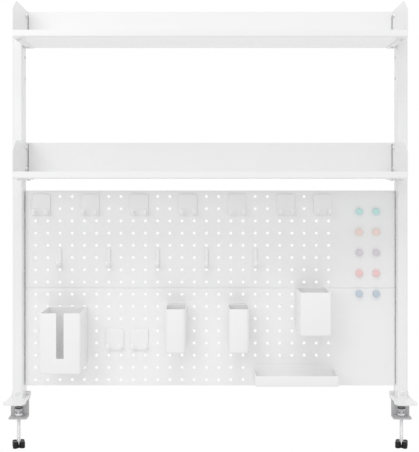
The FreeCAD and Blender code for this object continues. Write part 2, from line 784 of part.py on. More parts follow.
def magnet_places():
    """Two columns near the right side of the upper panel, one row a colour."""
    outer_x = panel_half_width - magnet_side_inset
    places = []
    for row, colour in enumerate(magnet_colours):
        z = panel_top_z - magnet_top_inset - row * magnet_pitch
        for number, x in enumerate((outer_x - magnet_spacing, outer_x)):
            places.append(("magnet_%s_%d" % (colour, number + 1), x, z))
    return places


def make_magnet(x, z):
    disc = rod(magnet_radius, V(x, hang_y - magnet_thickness, z), Y_AXIS, magnet_thickness)
    rim = edges_where(disc, lambda e: e.CenterOfMass.y < hang_y - magnet_thickness + 0.01)
    return disc.makeFillet(magnet_edge, rim)


# ---------------------------------------------------------------- fasteners that share a node

def make_foot_bolt(side):
    """Bolt through the post and the foot's tab, with its head on the post's front."""
    head_y = post_front_y - bolt_head_height
    head = rod(bolt_head_radius, V(post_centre_x, head_y, foot_bolt_z), Y_AXIS, bolt_head_height)
    crown = edges_where(head, lambda e: e.CenterOfMass.y < head_y + 0.01)
    head = head.makeFillet(bolt_head_height * 0.6, crown)
    length = post_depth + foot_thickness + foot_bolt_end
    shank = rod(foot_bolt_radius, V(post_centre_x, post_front_y, foot_bolt_z), Y_AXIS, length)
    cross = cross_recess(V(post_centre_x, head_y, foot_bolt_z), X_AXIS, Z_AXIS, Y_AXIS)
    return on_side(fused(head, shank).cut(cross), side)


def make_foot_nut(side):
    base = V(0, 0, 0)
    nut = hex_prism(foot_nut_flats, foot_nut_height, base)
    nut = nut.cut(rod(foot_bolt_radius + thread_clearance, V(0, 0, -1), Z_AXIS, foot_nut_height + 2))
    nut.rotate(base, X_AXIS, -90)
    nut.translate(V(post_centre_x, post_rear_y + foot_thickness, foot_bolt_z))
    return on_side(nut, side)


def both_sides(make):
    return [make(side) for side in (-1, 1)]


def shelf_bolts():
    made = []
    for side in (-1, 1):
        for level in shelf_levels:
            for z in shelf_bolt_heights(level):
                made.append(make_side_bolt(post_hole_y, z, end_plate_inner_x, bolt_radius, side))
    return made


def panel_screws():
    seat_x = panel_half_width - panel_sheet
    return [make_side_bolt(panel_screw_y, z, seat_x, panel_screw_radius, side)
            for side in (-1, 1) for z in panel_screw_heights()]


def post_inserts():
    made = []
    for side in (-1, 1):
        for level in shelf_levels:
            for z in shelf_bolt_heights(level):
                made.append(make_insert(post_hole_y, z, bolt_radius, side))
        for z in panel_screw_heights():
            made.append(make_insert(panel_screw_y, z, panel_screw_radius, side))
    return made


def shelf_screws():
    return [make_shelf_screw(x, y, level) for level in shelf_levels for x, y in shelf_screw_places()]


def jaw_screws():
    return [on_side(make_jaw_screw(x, y), side) for side in (-1, 1) for x, y in jaw_screw_places()]


# ---------------------------------------------------------------- the assembly

def save(name, shape):
    shape.exportStep("parts/" + name + ".step")
    print(name, len(shape.Solids), round(shape.Volume))


def main():
    for label, side in (("left", -1), ("right", 1)):
        save(label + "_post", make_post(side))
        save(label + "_foot_plate", make_foot_plate(side))
        save(label + "_jaw_bracket", make_jaw_bracket(side))
        save(label + "_clamp_screw", make_clamp_screw(side))
        save(label + "_clamp_knob", make_clamp_knob(side))
        save(label + "_pad_cup", make_pad_cup(side))
        save(label + "_pad_rubber", make_pad_rubber(side))
    for label, level in (("lower", lower_shelf_z), ("upper", upper_shelf_z)):
        save(label + "_shelf_tray", make_shelf_tray(level))
        save(label + "_shelf_left_end", make_end_plate(level, -1))
        save(label + "_shelf_right_end", make_end_plate(level, 1))
    for label, level in (("upper", upper_panel_z), ("lower", panel_bottom_z)):
        save(label + "_pegboard", make_pegboard(level))
    save("shelf_bolts", Part.makeCompound(shelf_bolts()))
    save("shelf_screws", Part.makeCompound(shelf_screws()))
    save("panel_screws", Part.makeCompound(panel_screws()))
    save("post_inserts", Part.makeCompound(post_inserts()))
    save("foot_bolts", Part.makeCompound(both_sides(make_foot_bolt)))
    save("foot_nuts", Part.makeCompound(both_sides(make_foot_nut)))
    save("jaw_screws", Part.makeCompound(jaw_screws()))
    save("jaw_nuts", Part.makeCompound(both_sides(make_jaw_nut)))
    save("post_caps", Part.makeCompound(both_sides(make_post_cap)))
    for number, first in enumerate(top_hook_columns):
        save("double_hook_top_%d" % (number + 1), make_double_hook((first, first + 1), top_hook_rows))
    for number, first in enumerate(low_hook_columns):
        save("double_hook_low_%d" % (number + 1), make_double_hook((first, first + 1), low_hook_rows))
    for number, column in enumerate(j_hook_columns):
        save("j_hook_%d" % (number + 1), make_j_hook(column, j_hook_rows))
    for number, first in enumerate(cup_columns):
        save("tall_cup_%d" % (number + 1), make_tall_cup((first, first + 1), cup_rows))
    save("slot_box", make_slot_box(slot_box_columns, slot_box_rows))
    save("small_box", make_small_box(small_box_columns, small_box_rows))
    save("low_tray", make_low_tray(tray_columns, tray_rows))
    for name, x, z in magnet_places():
        save(name, make_magnet(x, z))


main()
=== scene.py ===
import math
import bmesh
import bpy
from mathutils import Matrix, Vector


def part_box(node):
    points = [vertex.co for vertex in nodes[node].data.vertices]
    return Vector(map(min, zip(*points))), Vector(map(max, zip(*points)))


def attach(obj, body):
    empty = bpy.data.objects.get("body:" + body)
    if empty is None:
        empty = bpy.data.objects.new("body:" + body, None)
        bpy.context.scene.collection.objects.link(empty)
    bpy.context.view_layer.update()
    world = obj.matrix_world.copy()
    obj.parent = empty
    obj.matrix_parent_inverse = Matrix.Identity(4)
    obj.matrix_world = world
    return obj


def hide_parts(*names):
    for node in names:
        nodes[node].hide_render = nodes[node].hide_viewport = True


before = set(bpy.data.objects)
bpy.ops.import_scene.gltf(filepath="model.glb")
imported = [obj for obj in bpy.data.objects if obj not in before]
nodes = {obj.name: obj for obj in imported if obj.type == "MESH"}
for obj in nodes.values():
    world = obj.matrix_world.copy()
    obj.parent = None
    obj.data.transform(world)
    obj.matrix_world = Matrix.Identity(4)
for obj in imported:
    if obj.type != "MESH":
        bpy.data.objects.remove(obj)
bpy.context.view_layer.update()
mm = 0.001
print("frame loaded:", len(nodes), "nodes")


# small tools; lengths are in millimetres until v() turns them into metres

meshing = {"weld": 1e-7, "reweld": 2e-6, "sharp": 35, "leastRadius": 0.02}  # welds in metres


def v(x, y, z):
    return Vector((x * mm, y * mm, z * mm))


def boxMm(node):
    low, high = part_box(node)
    return low / mm, high / mm


def loft(bm, loops, capStart=True, capEnd=True):
    rows = [[bm.verts.new(p) for p in loop] for loop in loops]
    count = len(rows[0])
    for a, b in zip(rows, rows[1:]):
        for i in range(count):
            j = (i + 1) % count
            bm.faces.new((a[i], a[j], b[j], b[i]))
    if capStart:
        bm.faces.new(list(reversed(rows[0])))
    if capEnd:
        bm.faces.new(rows[-1])


def outline(width, depth, radii, steps=5):
    # corners in order +x+y, -x+y, -x-y, +x-y, each with its own radius
    points = []
    for k, (sx, sy) in enumerate(((1, 1), (-1, 1), (-1, -1), (1, -1))):
        r = radii[k]
        cx = sx * (width / 2 - r)
        cy = sy * (depth / 2 - r)
        for i in range(steps + 1):
            a = math.radians(90 * k + 90 * i / steps)
            points.append((cx + r * math.cos(a), cy + r * math.sin(a)))
    return points


def inset(width, depth, radii, d, steps=5):
    return outline(width - 2 * d, depth - 2 * d, [max(r - d, meshing["leastRadius"]) for r in radii], steps)


def angles(sides):
    return [2 * math.pi * i / sides for i in range(sides)]


def circle(radius, sides):
    return [(radius * math.cos(a), radius * math.sin(a)) for a in angles(sides)]


def quarter(steps):
    # (inward, along) pairs of a quarter round, from the end face to the side
    return [(1 - math.sin(math.pi / 2 * i / steps), 1 - math.cos(math.pi / 2 * i / steps))
            for i in range(steps + 1)]


def levelLoop(x, y, z, sides, reach):
    # closed loop at one height; reach gives its radius at an angle
    return [v(x + reach(a) * math.cos(a), y + reach(a) * math.sin(a), z) for a in angles(sides)]


def turned(x, y, section, sides):
    # loops of (radius, z) pairs about the vertical through x, y
    return [[v(x + px, y + py, z) for px, py in circle(radius, sides)] for radius, z in section]


def turnedFront(x, z, section, sides):
    # loops of (radius, y) pairs about the line from front to back through x, z
    return [[v(x + px, y, z + pz) for px, pz in circle(radius, sides)] for radius, y in section]


def lathe(bm, x, y, section, sides, ring=False):
    loops = turned(x, y, section, sides)
    loft(bm, loops + [loops[0]] if ring else loops, not ring, not ring)


def smoothInto(mesh, bm, weld, angle):
    bmesh.ops.remove_doubles(bm, verts=bm.verts, dist=weld)
    bmesh.ops.recalc_face_normals(bm, faces=bm.faces)
    bm.to_mesh(mesh)
    bm.free()
    for face in mesh.polygons:
        face.use_smooth = True
    mesh.set_sharp_from_angle(angle=math.radians(angle))


def tidyNormals(obj, angle):
    bm = bmesh.new()
    bm.from_mesh(obj.data)
    smoothInto(obj.data, bm, meshing["reweld"], angle)


def place(name, data):
    obj = bpy.data.objects.new(name, data)
    bpy.context.scene.collection.objects.link(obj)
    return obj


def toMesh(bm, name, material, angle=meshing["sharp"]):
    mesh = bpy.data.meshes.new(name)
    smoothInto(mesh, bm, meshing["weld"], angle)
    mesh.materials.append(material)
    return place(name, mesh)


def paint(obj, material):
    obj.data.materials.clear()
    obj.data.materials.append(material)


def seat(obj, body, slotName, *replaced):
    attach(obj, body)
    if replaced:
        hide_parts(*replaced)
    return obj


def bake(obj):
    # the evaluated shape as a plain mesh, with no modifier left
    bpy.context.view_layer.update()
    graph = bpy.context.evaluated_depsgraph_get()
    mesh = bpy.data.meshes.new_from_object(obj.evaluated_get(graph))
    old = obj.data
    obj.modifiers.clear()
    obj.data = mesh
    bpy.data.meshes.remove(old)
    mesh.name = obj.name


def setInputs(tree, node, inputs):
    # each is a socket to link or a plain value
    for label, value in inputs.items():
        if isinstance(value, bpy.types.NodeSocket):
            tree.links.new(value, node.inputs[label])
        else:
            node.inputs[label].default_value = value


def addNode(tree, kind, inputs=None, **settings):
    node = tree.nodes.new(kind)
    for name, value in settings.items():
        setattr(node, name, value)
    setInputs(tree, node, inputs or {})
    return node.outputs


def mathNode(tree, operation, *values):
    return addNode(tree, "ShaderNodeMath", dict(enumerate(values)), operation=operation)[0]


def geometryGroup(name, inputs):
    # an empty tree with its sockets, and the identifier of each input by its name
    group = bpy.data.node_groups.new(name, "GeometryNodeTree")
    face = group.interface
    face.new_socket(name="Geometry", in_out="INPUT", socket_type="NodeSocketGeometry")
    keys = {}
    for label, kind in inputs:
        keys[label] = face.new_socket(name=label, in_out="INPUT", socket_type=kind).identifier
    face.new_socket(name="Geometry", in_out="OUTPUT", socket_type="NodeSocketGeometry")
    return group, keys


def runGroup(obj, group, keys, values):
    modifier = obj.modifiers.new(group.name, "NODES")
    modifier.node_group = group
    for label, value in values.items():
        modifier[keys[label]] = value
    bake(obj)


# shared shader groups; the grain's height is in metres, and noise scales count per metre

grainShape = {"fineDetail": 3.0, "fineRoughness": 0.55, "slowScale": 38.0, "slowDetail": 2.0,
              "slowShare": 0.35, "height": 0.0006}
wearShape = {"speckScale": 420.0, "speckDetail": 4.0, "blotchScale": 9.0, "blotchDetail": 5.0,
             "blotchMiddle": 0.5, "upFrom": 0.55, "dulling": 1.6}


def shaderGroup(name, inputs, outputs):
    group = bpy.data.node_groups.new(name, "ShaderNodeTree")
    for label, kind, value in inputs:
        socket = group.interface.new_socket(name=label, in_out="INPUT", socket_type=kind)
        socket.default_value = value
    for label, kind in outputs:
        group.interface.new_socket(name=label, in_out="OUTPUT", socket_type=kind)
    given = addNode(group, "NodeGroupInput")
    return group, given, addNode(group, "ShaderNodeTexCoord")["Object"]


def grainGroup():
    # cured powder or moulded skin: fine peel over slow waviness, as a normal
    s = grainShape
    group, given, coord = shaderGroup("coatGrain", (
        ("Scale", "NodeSocketFloat", 900.0), ("Depth", "NodeSocketFloat", 0.05)),
        (("Normal", "NodeSocketVector"),))
    fine = addNode(group, "ShaderNodeTexNoise", {
        "Vector": coord, "Scale": given["Scale"], "Detail": s["fineDetail"],
        "Roughness": s["fineRoughness"]})
    slow = addNode(group, "ShaderNodeTexNoise", {
        "Vector": coord, "Scale": s["slowScale"], "Detail": s["slowDetail"]})
    height = mathNode(group, "MULTIPLY_ADD", slow["Fac"], s["slowShare"], fine["Fac"])
    bump = addNode(group, "ShaderNodeBump", {
        "Distance": s["height"], "Height": height, "Strength": given["Depth"]})
    addNode(group, "NodeGroupOutput", {"Normal": bump["Normal"]})
    return group


def wearGroup():
    # a light dulling where hands and dust reach: faces that look up, and slow blotches
    s = wearShape
    group, given, coord = shaderGroup("handledTone", (
        ("Color", "NodeSocketColor", (0.8, 0.8, 0.8, 1)), ("Dust", "NodeSocketFloat", 0.04),
        ("Blotch", "NodeSocketFloat", 0.03), ("Roughness", "NodeSocketFloat", 0.4)),
        (("Color", "NodeSocketColor"), ("Roughness", "NodeSocketFloat")))
    speck = addNode(group, "ShaderNodeTexNoise", {
        "Vector": coord, "Scale": s["speckScale"], "Detail": s["speckDetail"]})
    blotch = addNode(group, "ShaderNodeTexNoise", {
        "Vector": coord, "Scale": s["blotchScale"], "Detail": s["blotchDetail"]})
    normal = addNode(group, "ShaderNodeSeparateXYZ", {0: addNode(group, "ShaderNodeNewGeometry")["Normal"]})
    up = addNode(group, "ShaderNodeMapRange", {
        "Value": normal["Z"], "From Min": s["upFrom"], "From Max": 1.0})
    dust = mathNode(group, "MULTIPLY", up["Result"], speck["Fac"])
    amount = mathNode(group, "MULTIPLY", dust, given["Dust"])
    centred = mathNode(group, "SUBTRACT", blotch["Fac"], s["blotchMiddle"])
    tone = mathNode(group, "MULTIPLY", centred, given["Blotch"])
    shade = mathNode(group, "ADD", amount, tone)
    keep = mathNode(group, "SUBTRACT", 1.0, shade)
    color = addNode(group, "ShaderNodeVectorMath", {0: given["Color"], "Scale": keep}, operation="SCALE")[0]
    rough = mathNode(group, "MULTIPLY_ADD", shade, s["dulling"], given["Roughness"])
    addNode(group, "NodeGroupOutput", {"Color": color, "Roughness": rough})
    return group


coatGrain = grainGroup()
handledTone = wearGroup()


def finish(name, color, rough, grainScale, grainDepth, dust, blotch, **extra):
    # dust and blotch darken and dull; below zero they lighten, for black pieces
    material = bpy.data.materials.new(name)
    material.use_nodes = True
    tree = material.node_tree
    grain = addNode(tree, "ShaderNodeGroup", {
        "Scale": grainScale, "Depth": grainDepth}, node_tree=coatGrain)
    wear = addNode(tree, "ShaderNodeGroup", {
        "Color": (*color, 1), "Dust": dust, "Blotch": blotch, "Roughness": rough}, node_tree=handledTone)
    shader = {"Base Color": wear["Color"], "Roughness": wear["Roughness"], "Normal": grain["Normal"]}
    for label, value in extra.items():
        shader[label.replace("_", " ")] = value
    setInputs(tree, tree.nodes["Principled BSDF"], shader)
    return material


whiteCoat = finish("whiteCoat", color=(0.935, 0.935, 0.937), rough=0.26, grainScale=1500, grainDepth=0.06,
                   dust=0.03, blotch=0.03)
boardCoat = finish("boardCoat", color=(0.955, 0.955, 0.958), rough=0.32, grainScale=1500, grainDepth=0.08,
                   dust=0.03, blotch=0.035)
whitePlastic = finish("whitePlastic", color=(0.95, 0.95, 0.95), rough=0.30, grainScale=2600,
                      grainDepth=0.05, dust=0.02, blotch=0.02)
greyCoat = finish("greyCoat", color=(0.58, 0.58, 0.59), rough=0.40, grainScale=1300, grainDepth=0.10,
                  dust=0.04, blotch=0.05)
chrome = finish("chrome", color=(0.84, 0.84, 0.85), rough=0.14, grainScale=3000, grainDepth=0.02,
                dust=0.05, blotch=0.10, Metallic=1.0)
zinc = finish("zinc", color=(0.70, 0.70, 0.71), rough=0.28, grainScale=2400, grainDepth=0.06,
              dust=0.05, blotch=0.16, Metallic=1.0)
blackKnob = finish("blackKnob", color=(0.008, 0.008, 0.009), rough=0.14, grainScale=2200, grainDepth=0.05,
                   dust=-0.6, blotch=-0.3, Specular_IOR_Level=0.3)
rubber = finish("rubber", color=(0.09, 0.09, 0.092), rough=0.75, grainScale=1800, grainDepth=0.25,
                dust=-0.8, blotch=-0.4)
magnetTones = {"teal": (0.57, 0.86, 0.83), "salmon": (0.96, 0.77, 0.70), "lilac": (0.74, 0.69, 0.75),
               "pink": (0.96, 0.64, 0.64), "blue": (0.58, 0.67, 0.75)}
magnetSkins = {name: finish(name + "Enamel", color=tone, rough=0.18, grainScale=2400, grainDepth=0.03,
                            dust=0.04, blotch=0.03, Coat_Weight=0.4)
               for name, tone in magnetTones.items()}
print("materials ready:", len(bpy.data.materials))


# pegboards: one hole cell, repeated over the grid by geometry nodes

board = {"pitch": 25.0, "columns": 25, "rows": 8, "firstX": -357.5, "margin": 12.0, "holeRadius": 3.0,
         "rim": 0.55, "rimDepth": 0.5, "sides": 24, "sheet": 1.2, "corner": 0.6, "bendAngles": (30, 60, 90),
         "seamClose": 0.4, "weld": 0.05, "near": 0.02, "flat": 0.9, "sharp": 40}


def holeCell():
    # skin only: square outside, round hole with a turned-in rim; faces the front
    half = board["pitch"] / 2
    wide = board["holeRadius"] + board["rim"]
    outer, edge, rim = [], [], []
    for a in angles(board["sides"]):
        c, s = math.cos(a), math.sin(a)
        reach = half / max(abs(c), abs(s))
        outer.append(v(reach * c, 0, reach * s))
        edge.append(v(wide * c, 0, wide * s))
        rim.append(v(board["holeRadius"] * c, board["rimDepth"], board["holeRadius"] * s))
    bm = bmesh.new()
    loft(bm, (outer, edge, rim), False, False)
    mesh = bpy.data.meshes.new("holeCell")
    bm.to_mesh(mesh)
    bm.free()
    return place("holeCell", mesh)


def perforationGroup():
    group, keys = geometryGroup("perforation", (
        ("Cell", "NodeSocketObject"), ("Columns", "NodeSocketInt"), ("Rows", "NodeSocketInt"),
        ("Pitch", "NodeSocketFloat"), ("First Hole", "NodeSocketVector"), ("Lower Edge", "NodeSocketFloat"),
        ("Upper Edge", "NodeSocketFloat"), ("Material", "NodeSocketMaterial")))
    given = addNode(group, "NodeGroupInput")
    stepX = addNode(group, "ShaderNodeCombineXYZ", {"X": given["Pitch"]})[0]
    stepZ = addNode(group, "ShaderNodeCombineXYZ", {"Z": given["Pitch"]})[0]
    across = addNode(group, "GeometryNodeMeshLine", {
        "Count": given["Columns"], "Start Location": given["First Hole"], "Offset": stepX})["Mesh"]
    up = addNode(group, "GeometryNodeMeshLine", {"Count": given["Rows"], "Offset": stepZ})["Mesh"]
    lines = addNode(group, "GeometryNodeInstanceOnPoints", {"Points": up, "Instance": across})["Instances"]
    grid = addNode(group, "GeometryNodeRealizeInstances", {"Geometry": lines})["Geometry"]
    cell = addNode(group, "GeometryNodeObjectInfo", {"Object": given["Cell"]})["Geometry"]
    cells = addNode(group, "GeometryNodeInstanceOnPoints", {"Points": grid, "Instance": cell})["Instances"]
    skin = addNode(group, "GeometryNodeRealizeInstances", {"Geometry": cells})["Geometry"]
    # the outer rows stop at the panel's own edges
    point = addNode(group, "ShaderNodeSeparateXYZ", {0: addNode(group, "GeometryNodeInputPosition")[0]})
    height = addNode(group, "ShaderNodeClamp", {
        "Value": point["Z"], "Min": given["Lower Edge"], "Max": given["Upper Edge"]})[0]
    kept = addNode(group, "ShaderNodeCombineXYZ", {"X": point["X"], "Y": point["Y"], "Z": height})[0]
    moved = addNode(group, "GeometryNodeSetPosition", {"Geometry": skin, "Position": kept})["Geometry"]
    merged = addNode(group, "GeometryNodeMergeByDistance", {
        "Geometry": moved, "Distance": board["weld"] * mm})["Geometry"]
    painted = addNode(group, "GeometryNodeSetMaterial", {"Geometry": merged, "Material": given["Material"]})
    addNode(group, "NodeGroupOutput", {"Geometry": painted["Geometry"]})
    return group, keys


cellObject = holeCell()
perforation, perforationInputs = perforationGroup()


def pushEdges(bm, test, move):
    # extends the open border: new quads from the edges that pass the test
    edges = [e for e in bm.edges if e.is_boundary and all(test(p.co) for p in e.verts)]
    for fresh in bmesh.ops.extrude_edge_only(bm, edges=edges)["geom"]:
        if isinstance(fresh, bmesh.types.BMVert):
            fresh.co = move(fresh.co)


def pegboard(node):
    low, high = boxMm(node)
    firstHole = v(board["firstX"], low.y, low.z + board["margin"])
    # the two panels all but touch at their seam
    if node == "upper_pegboard":
        low.z -= board["seamClose"]
    else:
        high.z += board["seamClose"]
    r = board["corner"]
    lowX, highX = (low.x + r) * mm, (high.x - r) * mm
    lowZ, highZ = (low.z + r) * mm, (high.z - r) * mm
    obj = place(node + "_punched", bpy.data.meshes.new(node + "_punched"))
    runGroup(obj, perforation, perforationInputs, {
        "Cell": cellObject, "Columns": board["columns"], "Rows": board["rows"],
        "Pitch": board["pitch"] * mm, "First Hole": firstHole, "Lower Edge": lowZ, "Upper Edge": highZ,
        "Material": boardCoat})
    bm = bmesh.new()
    bm.from_mesh(obj.data)
    # plain margins left and right of the holes
    leftEnd = (board["firstX"] - board["pitch"] / 2) * mm
    rightEnd = (board["firstX"] + (board["columns"] - 0.5) * board["pitch"]) * mm
    near = board["near"] * mm
    pushEdges(bm, lambda p: abs(p.x - leftEnd) < near, lambda p: Vector((lowX, p.y, p.z)))
    pushEdges(bm, lambda p: abs(p.x - rightEnd) < near, lambda p: Vector((highX, p.y, p.z)))

    def onRim(p):
        return p.x < lowX + near or p.x > highX - near or p.z < lowZ + near or p.z > highZ - near

    def outward(value, least, most, step):
        if value < least + near:
            return value - step
        return value + step if value > most - near else value

    # rounded bend, then the return, all round
    bends = [(math.sin(a) * r, (1 - math.cos(a)) * r) for a in map(math.radians, board["bendAngles"])]
    bends.append((r, high.y - low.y))
    before = 0.0
    for out, back in bends:
        step, y = (out - before) * mm, (low.y + back) * mm
        pushEdges(bm, onRim, lambda p: Vector((
            outward(p.x, lowX, highX, step), y, outward(p.z, lowZ, highZ, step))))
        before = out
    bmesh.ops.recalc_face_normals(bm, faces=bm.faces)
    if sum(f.normal.y for f in bm.faces if abs(f.normal.y) > board["flat"]) > 0:
        bmesh.ops.reverse_faces(bm, faces=bm.faces)
    bm.to_mesh(obj.data)
    bm.free()
    solid = obj.modifiers.new("sheet", "SOLIDIFY")
    solid.thickness = board["sheet"] * mm
    solid.offset = -1
    solid.use_even_offset = True
    bake(obj)
    tidyNormals(obj, board["sharp"])
    paint(obj, boardCoat)
    seat(obj, "frame", "board_steel", node)


for node in ("upper_pegboard", "lower_pegboard"):
    pegboard(node)
bpy.data.objects.remove(cellObject)
print("pegboards ready")


# hung pieces: plates, prongs, hooks, cups and boxes

wall = {"hang": 2.7, "pegRadius": 2.95, "pegEnd": 9.0, "pegTaper": 0.8, "pegSunk": 0.6, "pegSides": 20,
        "cornerSteps": 6, "edgeSteps": 5}


def columnX(column):
    return board["firstX"] + column * board["pitch"]


def rowZ(row):
    # rows count from the top, over both panels
    panel, step = divmod(row, board["rows"])
    top = boxMm(("upper_pegboard", "lower_pegboard")[panel])[1].z - board["margin"]
    return top - step * board["pitch"]


def addPegs(bm, columns, rows):
    radius, end, taper = wall["pegRadius"], wall["pegEnd"], wall["pegTaper"]
    section = ((radius, wall["hang"] - wall["pegSunk"]), (radius, end - taper), (radius - taper, end))
    for column in columns:
        for row in rows:
            loft(bm, turnedFront(columnX(column), rowZ(row), section, wall["pegSides"]))


def hang(bm, node, ending):
    seat(toMesh(bm, node + ending, whitePlastic), node + "_body", "white_plastic", node)


def plateLoft(bm, centreX, centreZ, width, height, radii, backY, thickness, edge):
    # a plate that faces the front, its front edge rounded over
    steps = wall["cornerSteps"]
    loops = [[v(centreX + x, backY, centreZ + z) for x, z in outline(width, height, radii, steps)]]
    for inward, along in reversed(quarter(wall["edgeSteps"])):
        y = backY - thickness + along * edge
        loops.append([v(centreX + x, y, centreZ + z)
                      for x, z in inset(width, height, radii, inward * edge, steps)])
    loft(bm, loops)


arm = {"cornerSteps": 4, "bendSteps": 8, "sunk": 0.8, "rootRun": 2.0, "domeReach": 0.45,
       "domeAngles": (30, 55, 75, 88), "leastSize": 0.03}


def sweep(bm, path, width, thickness, edge, x):
    # a flat bar with a domed end, along a path of (y, z) points in the plane at x
    last = len(path) - 1
    tangents = [(Vector(path[min(i + 1, last)]) - Vector(path[max(i - 1, 0)])).normalized()
                for i in range(last + 1)]
    section = outline(width, thickness, [edge] * 4, arm["cornerSteps"])

    def ring(centre, tangent, scaleX, scaleN):
        normal = Vector((-tangent.y, tangent.x))
        points = []
        for sx, sn in section:
            p = Vector(centre) + normal * (sn * scaleN)
            points.append(v(x + sx * scaleX, p.x, p.y))
        return points

    rings = [ring(point, tangent, 1, 1) for point, tangent in zip(path, tangents)]
    for a in arm["domeAngles"]:
        size, out = math.cos(math.radians(a)), math.sin(math.radians(a))
        centre = Vector(path[-1]) + tangents[-1] * (thickness * arm["domeReach"] * out)
        narrower = 1 - (1 - size) * thickness / width
        rings.append(ring(centre, tangents[-1], narrower, max(size, arm["leastSize"])))
    loft(bm, rings)


def armPath(rootY, lowZ, reach, tip, thickness, bend):
    # along the middle of a prong: forward, round the bend, up to the tip
    half = thickness / 2
    r = bend + half
    tipY = rootY - reach + half
    path = [(rootY + arm["sunk"], lowZ + half), (rootY - arm["rootRun"], lowZ + half)]
    for i in range(arm["bendSteps"] + 1):
        a = math.pi / 2 * i / arm["bendSteps"]
        path.append((tipY + r - r * math.sin(a), lowZ + half + r - r * math.cos(a)))
    path.append((tipY, lowZ + tip - thickness * arm["domeReach"]))
    return path


doubleHook = {"width": 37.0, "height": 44.0, "thickness": 3.0, "corner": 4.0, "edge": 1.0, "rise": 5.0,
              "prong": 7.0, "prongThickness": 4.0, "prongEdge": 1.2, "spacing": 25.0, "reach": 24.0,
              "tip": 13.0, "bend": 3.0, "prongRise": 2.0,
              "topColumns": (0, 4, 8, 12, 16, 20, 23), "topRow": 0, "lowColumns": (6, 8), "lowRow": 11}


def makeDoubleHook(node, column, row):
    s = doubleHook
    centre = (columnX(column) + columnX(column + 1)) / 2
    top = rowZ(row) + s["rise"]
    low = top - s["height"]
    front = wall["hang"] - s["thickness"]
    bm = bmesh.new()
    plateLoft(bm, centre, (top + low) / 2, s["width"], s["height"], [s["corner"]] * 4, wall["hang"],
              s["thickness"], s["edge"])
    for side in (-1, 1):
        path = armPath(front, low + s["prongRise"], s["reach"], s["tip"], s["prongThickness"], s["bend"])
        sweep(bm, path, s["prong"], s["prongThickness"], s["prongEdge"], centre + side * s["spacing"] / 2)
    addPegs(bm, (column, column + 1), (row, row + 1))
    hang(bm, node, "_hook")


for number, column in enumerate(doubleHook["topColumns"]):
    makeDoubleHook("double_hook_top_%d" % (number + 1), column, doubleHook["topRow"])
for number, column in enumerate(doubleHook["lowColumns"]):
    makeDoubleHook("double_hook_low_%d" % (number + 1), column, doubleHook["lowRow"])

jHook = {"width": 8.0, "thickness": 5.0, "edge": 1.8, "topRound": 3.6, "footRound": 0.6, "rise": 19.4,
         "drop": 19.0, "reach": 34.0, "tip": 14.0, "bend": 6.0, "columns": (2, 6, 10, 14, 18), "row": 5}


def makeJHook(node, column):
    s = jHook
    x = columnX(column)
    low = rowZ(s["row"]) - s["drop"]
    top = rowZ(s["row"]) + s["rise"]
    middle = wall["hang"] - s["thickness"] / 2
    bm = bmesh.new()
    plateLoft(bm, x, (top + low) / 2, s["width"], top - low, [s["topRound"]] * 2 + [s["footRound"]] * 2,
              wall["hang"], s["thickness"], s["edge"])
    path = armPath(middle, low, s["reach"] - s["thickness"] / 2, s["tip"], s["thickness"], s["bend"])
    sweep(bm, path, s["width"], s["thickness"], s["edge"], x)
    addPegs(bm, (column,), (s["row"],))
    hang(bm, node, "_bar")


for number, column in enumerate(jHook["columns"]):
    makeJHook("j_hook_%d" % (number + 1), column)
print("hooks ready")


shell = {"backWall": 2.5, "rearCorner": 0.6, "rim": 0.8, "rimMiddle": 0.999, "steps": 4, "leastBend": 1.2}


def openBox(bm, s, centreX, lowZ, topZ):
    # one closed shell: outer skin up, rounded rim, inner skin down; square at the back, rounded in front
    width, depth, thickness, foot = s["width"], s["depth"], s["wall"], s["foot"]
    rim, steps = shell["rim"], shell["steps"]
    radii = [shell["rearCorner"]] * 2 + [s["round"]] * 2
    centreY = wall["hang"] - depth / 2
    extra = shell["backWall"] - thickness
    bend = max(foot - thickness, shell["leastBend"])
    turns = [math.pi / 2 * i / steps for i in range(steps + 1)]
    loops = []

    def plan(d, z, backShift=0.0):
        ring = []
        for x, y in inset(width, depth, radii, d, wall["cornerSteps"]):
            if y > 0:
                y -= backShift * y / (depth / 2 - d)
            ring.append(v(centreX + x, centreY + y, z))
        loops.append(ring)

    for a in turns:
        plan(foot * (1 - math.sin(a)), lowZ + foot * (1 - math.cos(a)))
    plan(0, topZ - rim)
    for a in turns[1:]:
        plan(rim * (1 - math.cos(a)), topZ - rim + rim * math.sin(a))
    # the rim's two middle loops stay a hair apart
    for a in reversed(turns):
        plan(thickness - (thickness - rim) * math.sin(a) * shell["rimMiddle"],
             topZ - (1 - math.sin(a)) * rim, extra)
    floorZ = lowZ + thickness
    plan(thickness, floorZ + bend, extra)
    for a in turns[1:]:
        plan(thickness + bend * (1 - math.cos(a)), floorZ + bend * (1 - math.sin(a)), extra)
    loft(bm, loops)


backPlate = {"sunk": 0.2, "thickness": 2.05, "edge": 0.8, "footGap": 6.0, "sideGap": 0.7, "footRadius": 2.0}


def raisedPlate(bm, centre, low, top, width, corner):
    # stands up out of the back wall; below the rim it is buried in that wall
    s = backPlate
    height = top - low - s["footGap"]
    radii = [corner] * 2 + [s["footRadius"]] * 2
    plateLoft(bm, centre, top - height / 2, width - 2 * s["sideGap"], height, radii,
              wall["hang"] - s["sunk"], s["thickness"], s["edge"])


tallCup = {"width": 41.0, "depth": 80.0, "wall": 2.0, "offset": 1.8, "drop": 58.0, "rimRise": 4.4,
           "backRise": 9.0, "round": 10.0, "corner": 6.0, "foot": 4.0, "columns": (11, 16), "row": 9}


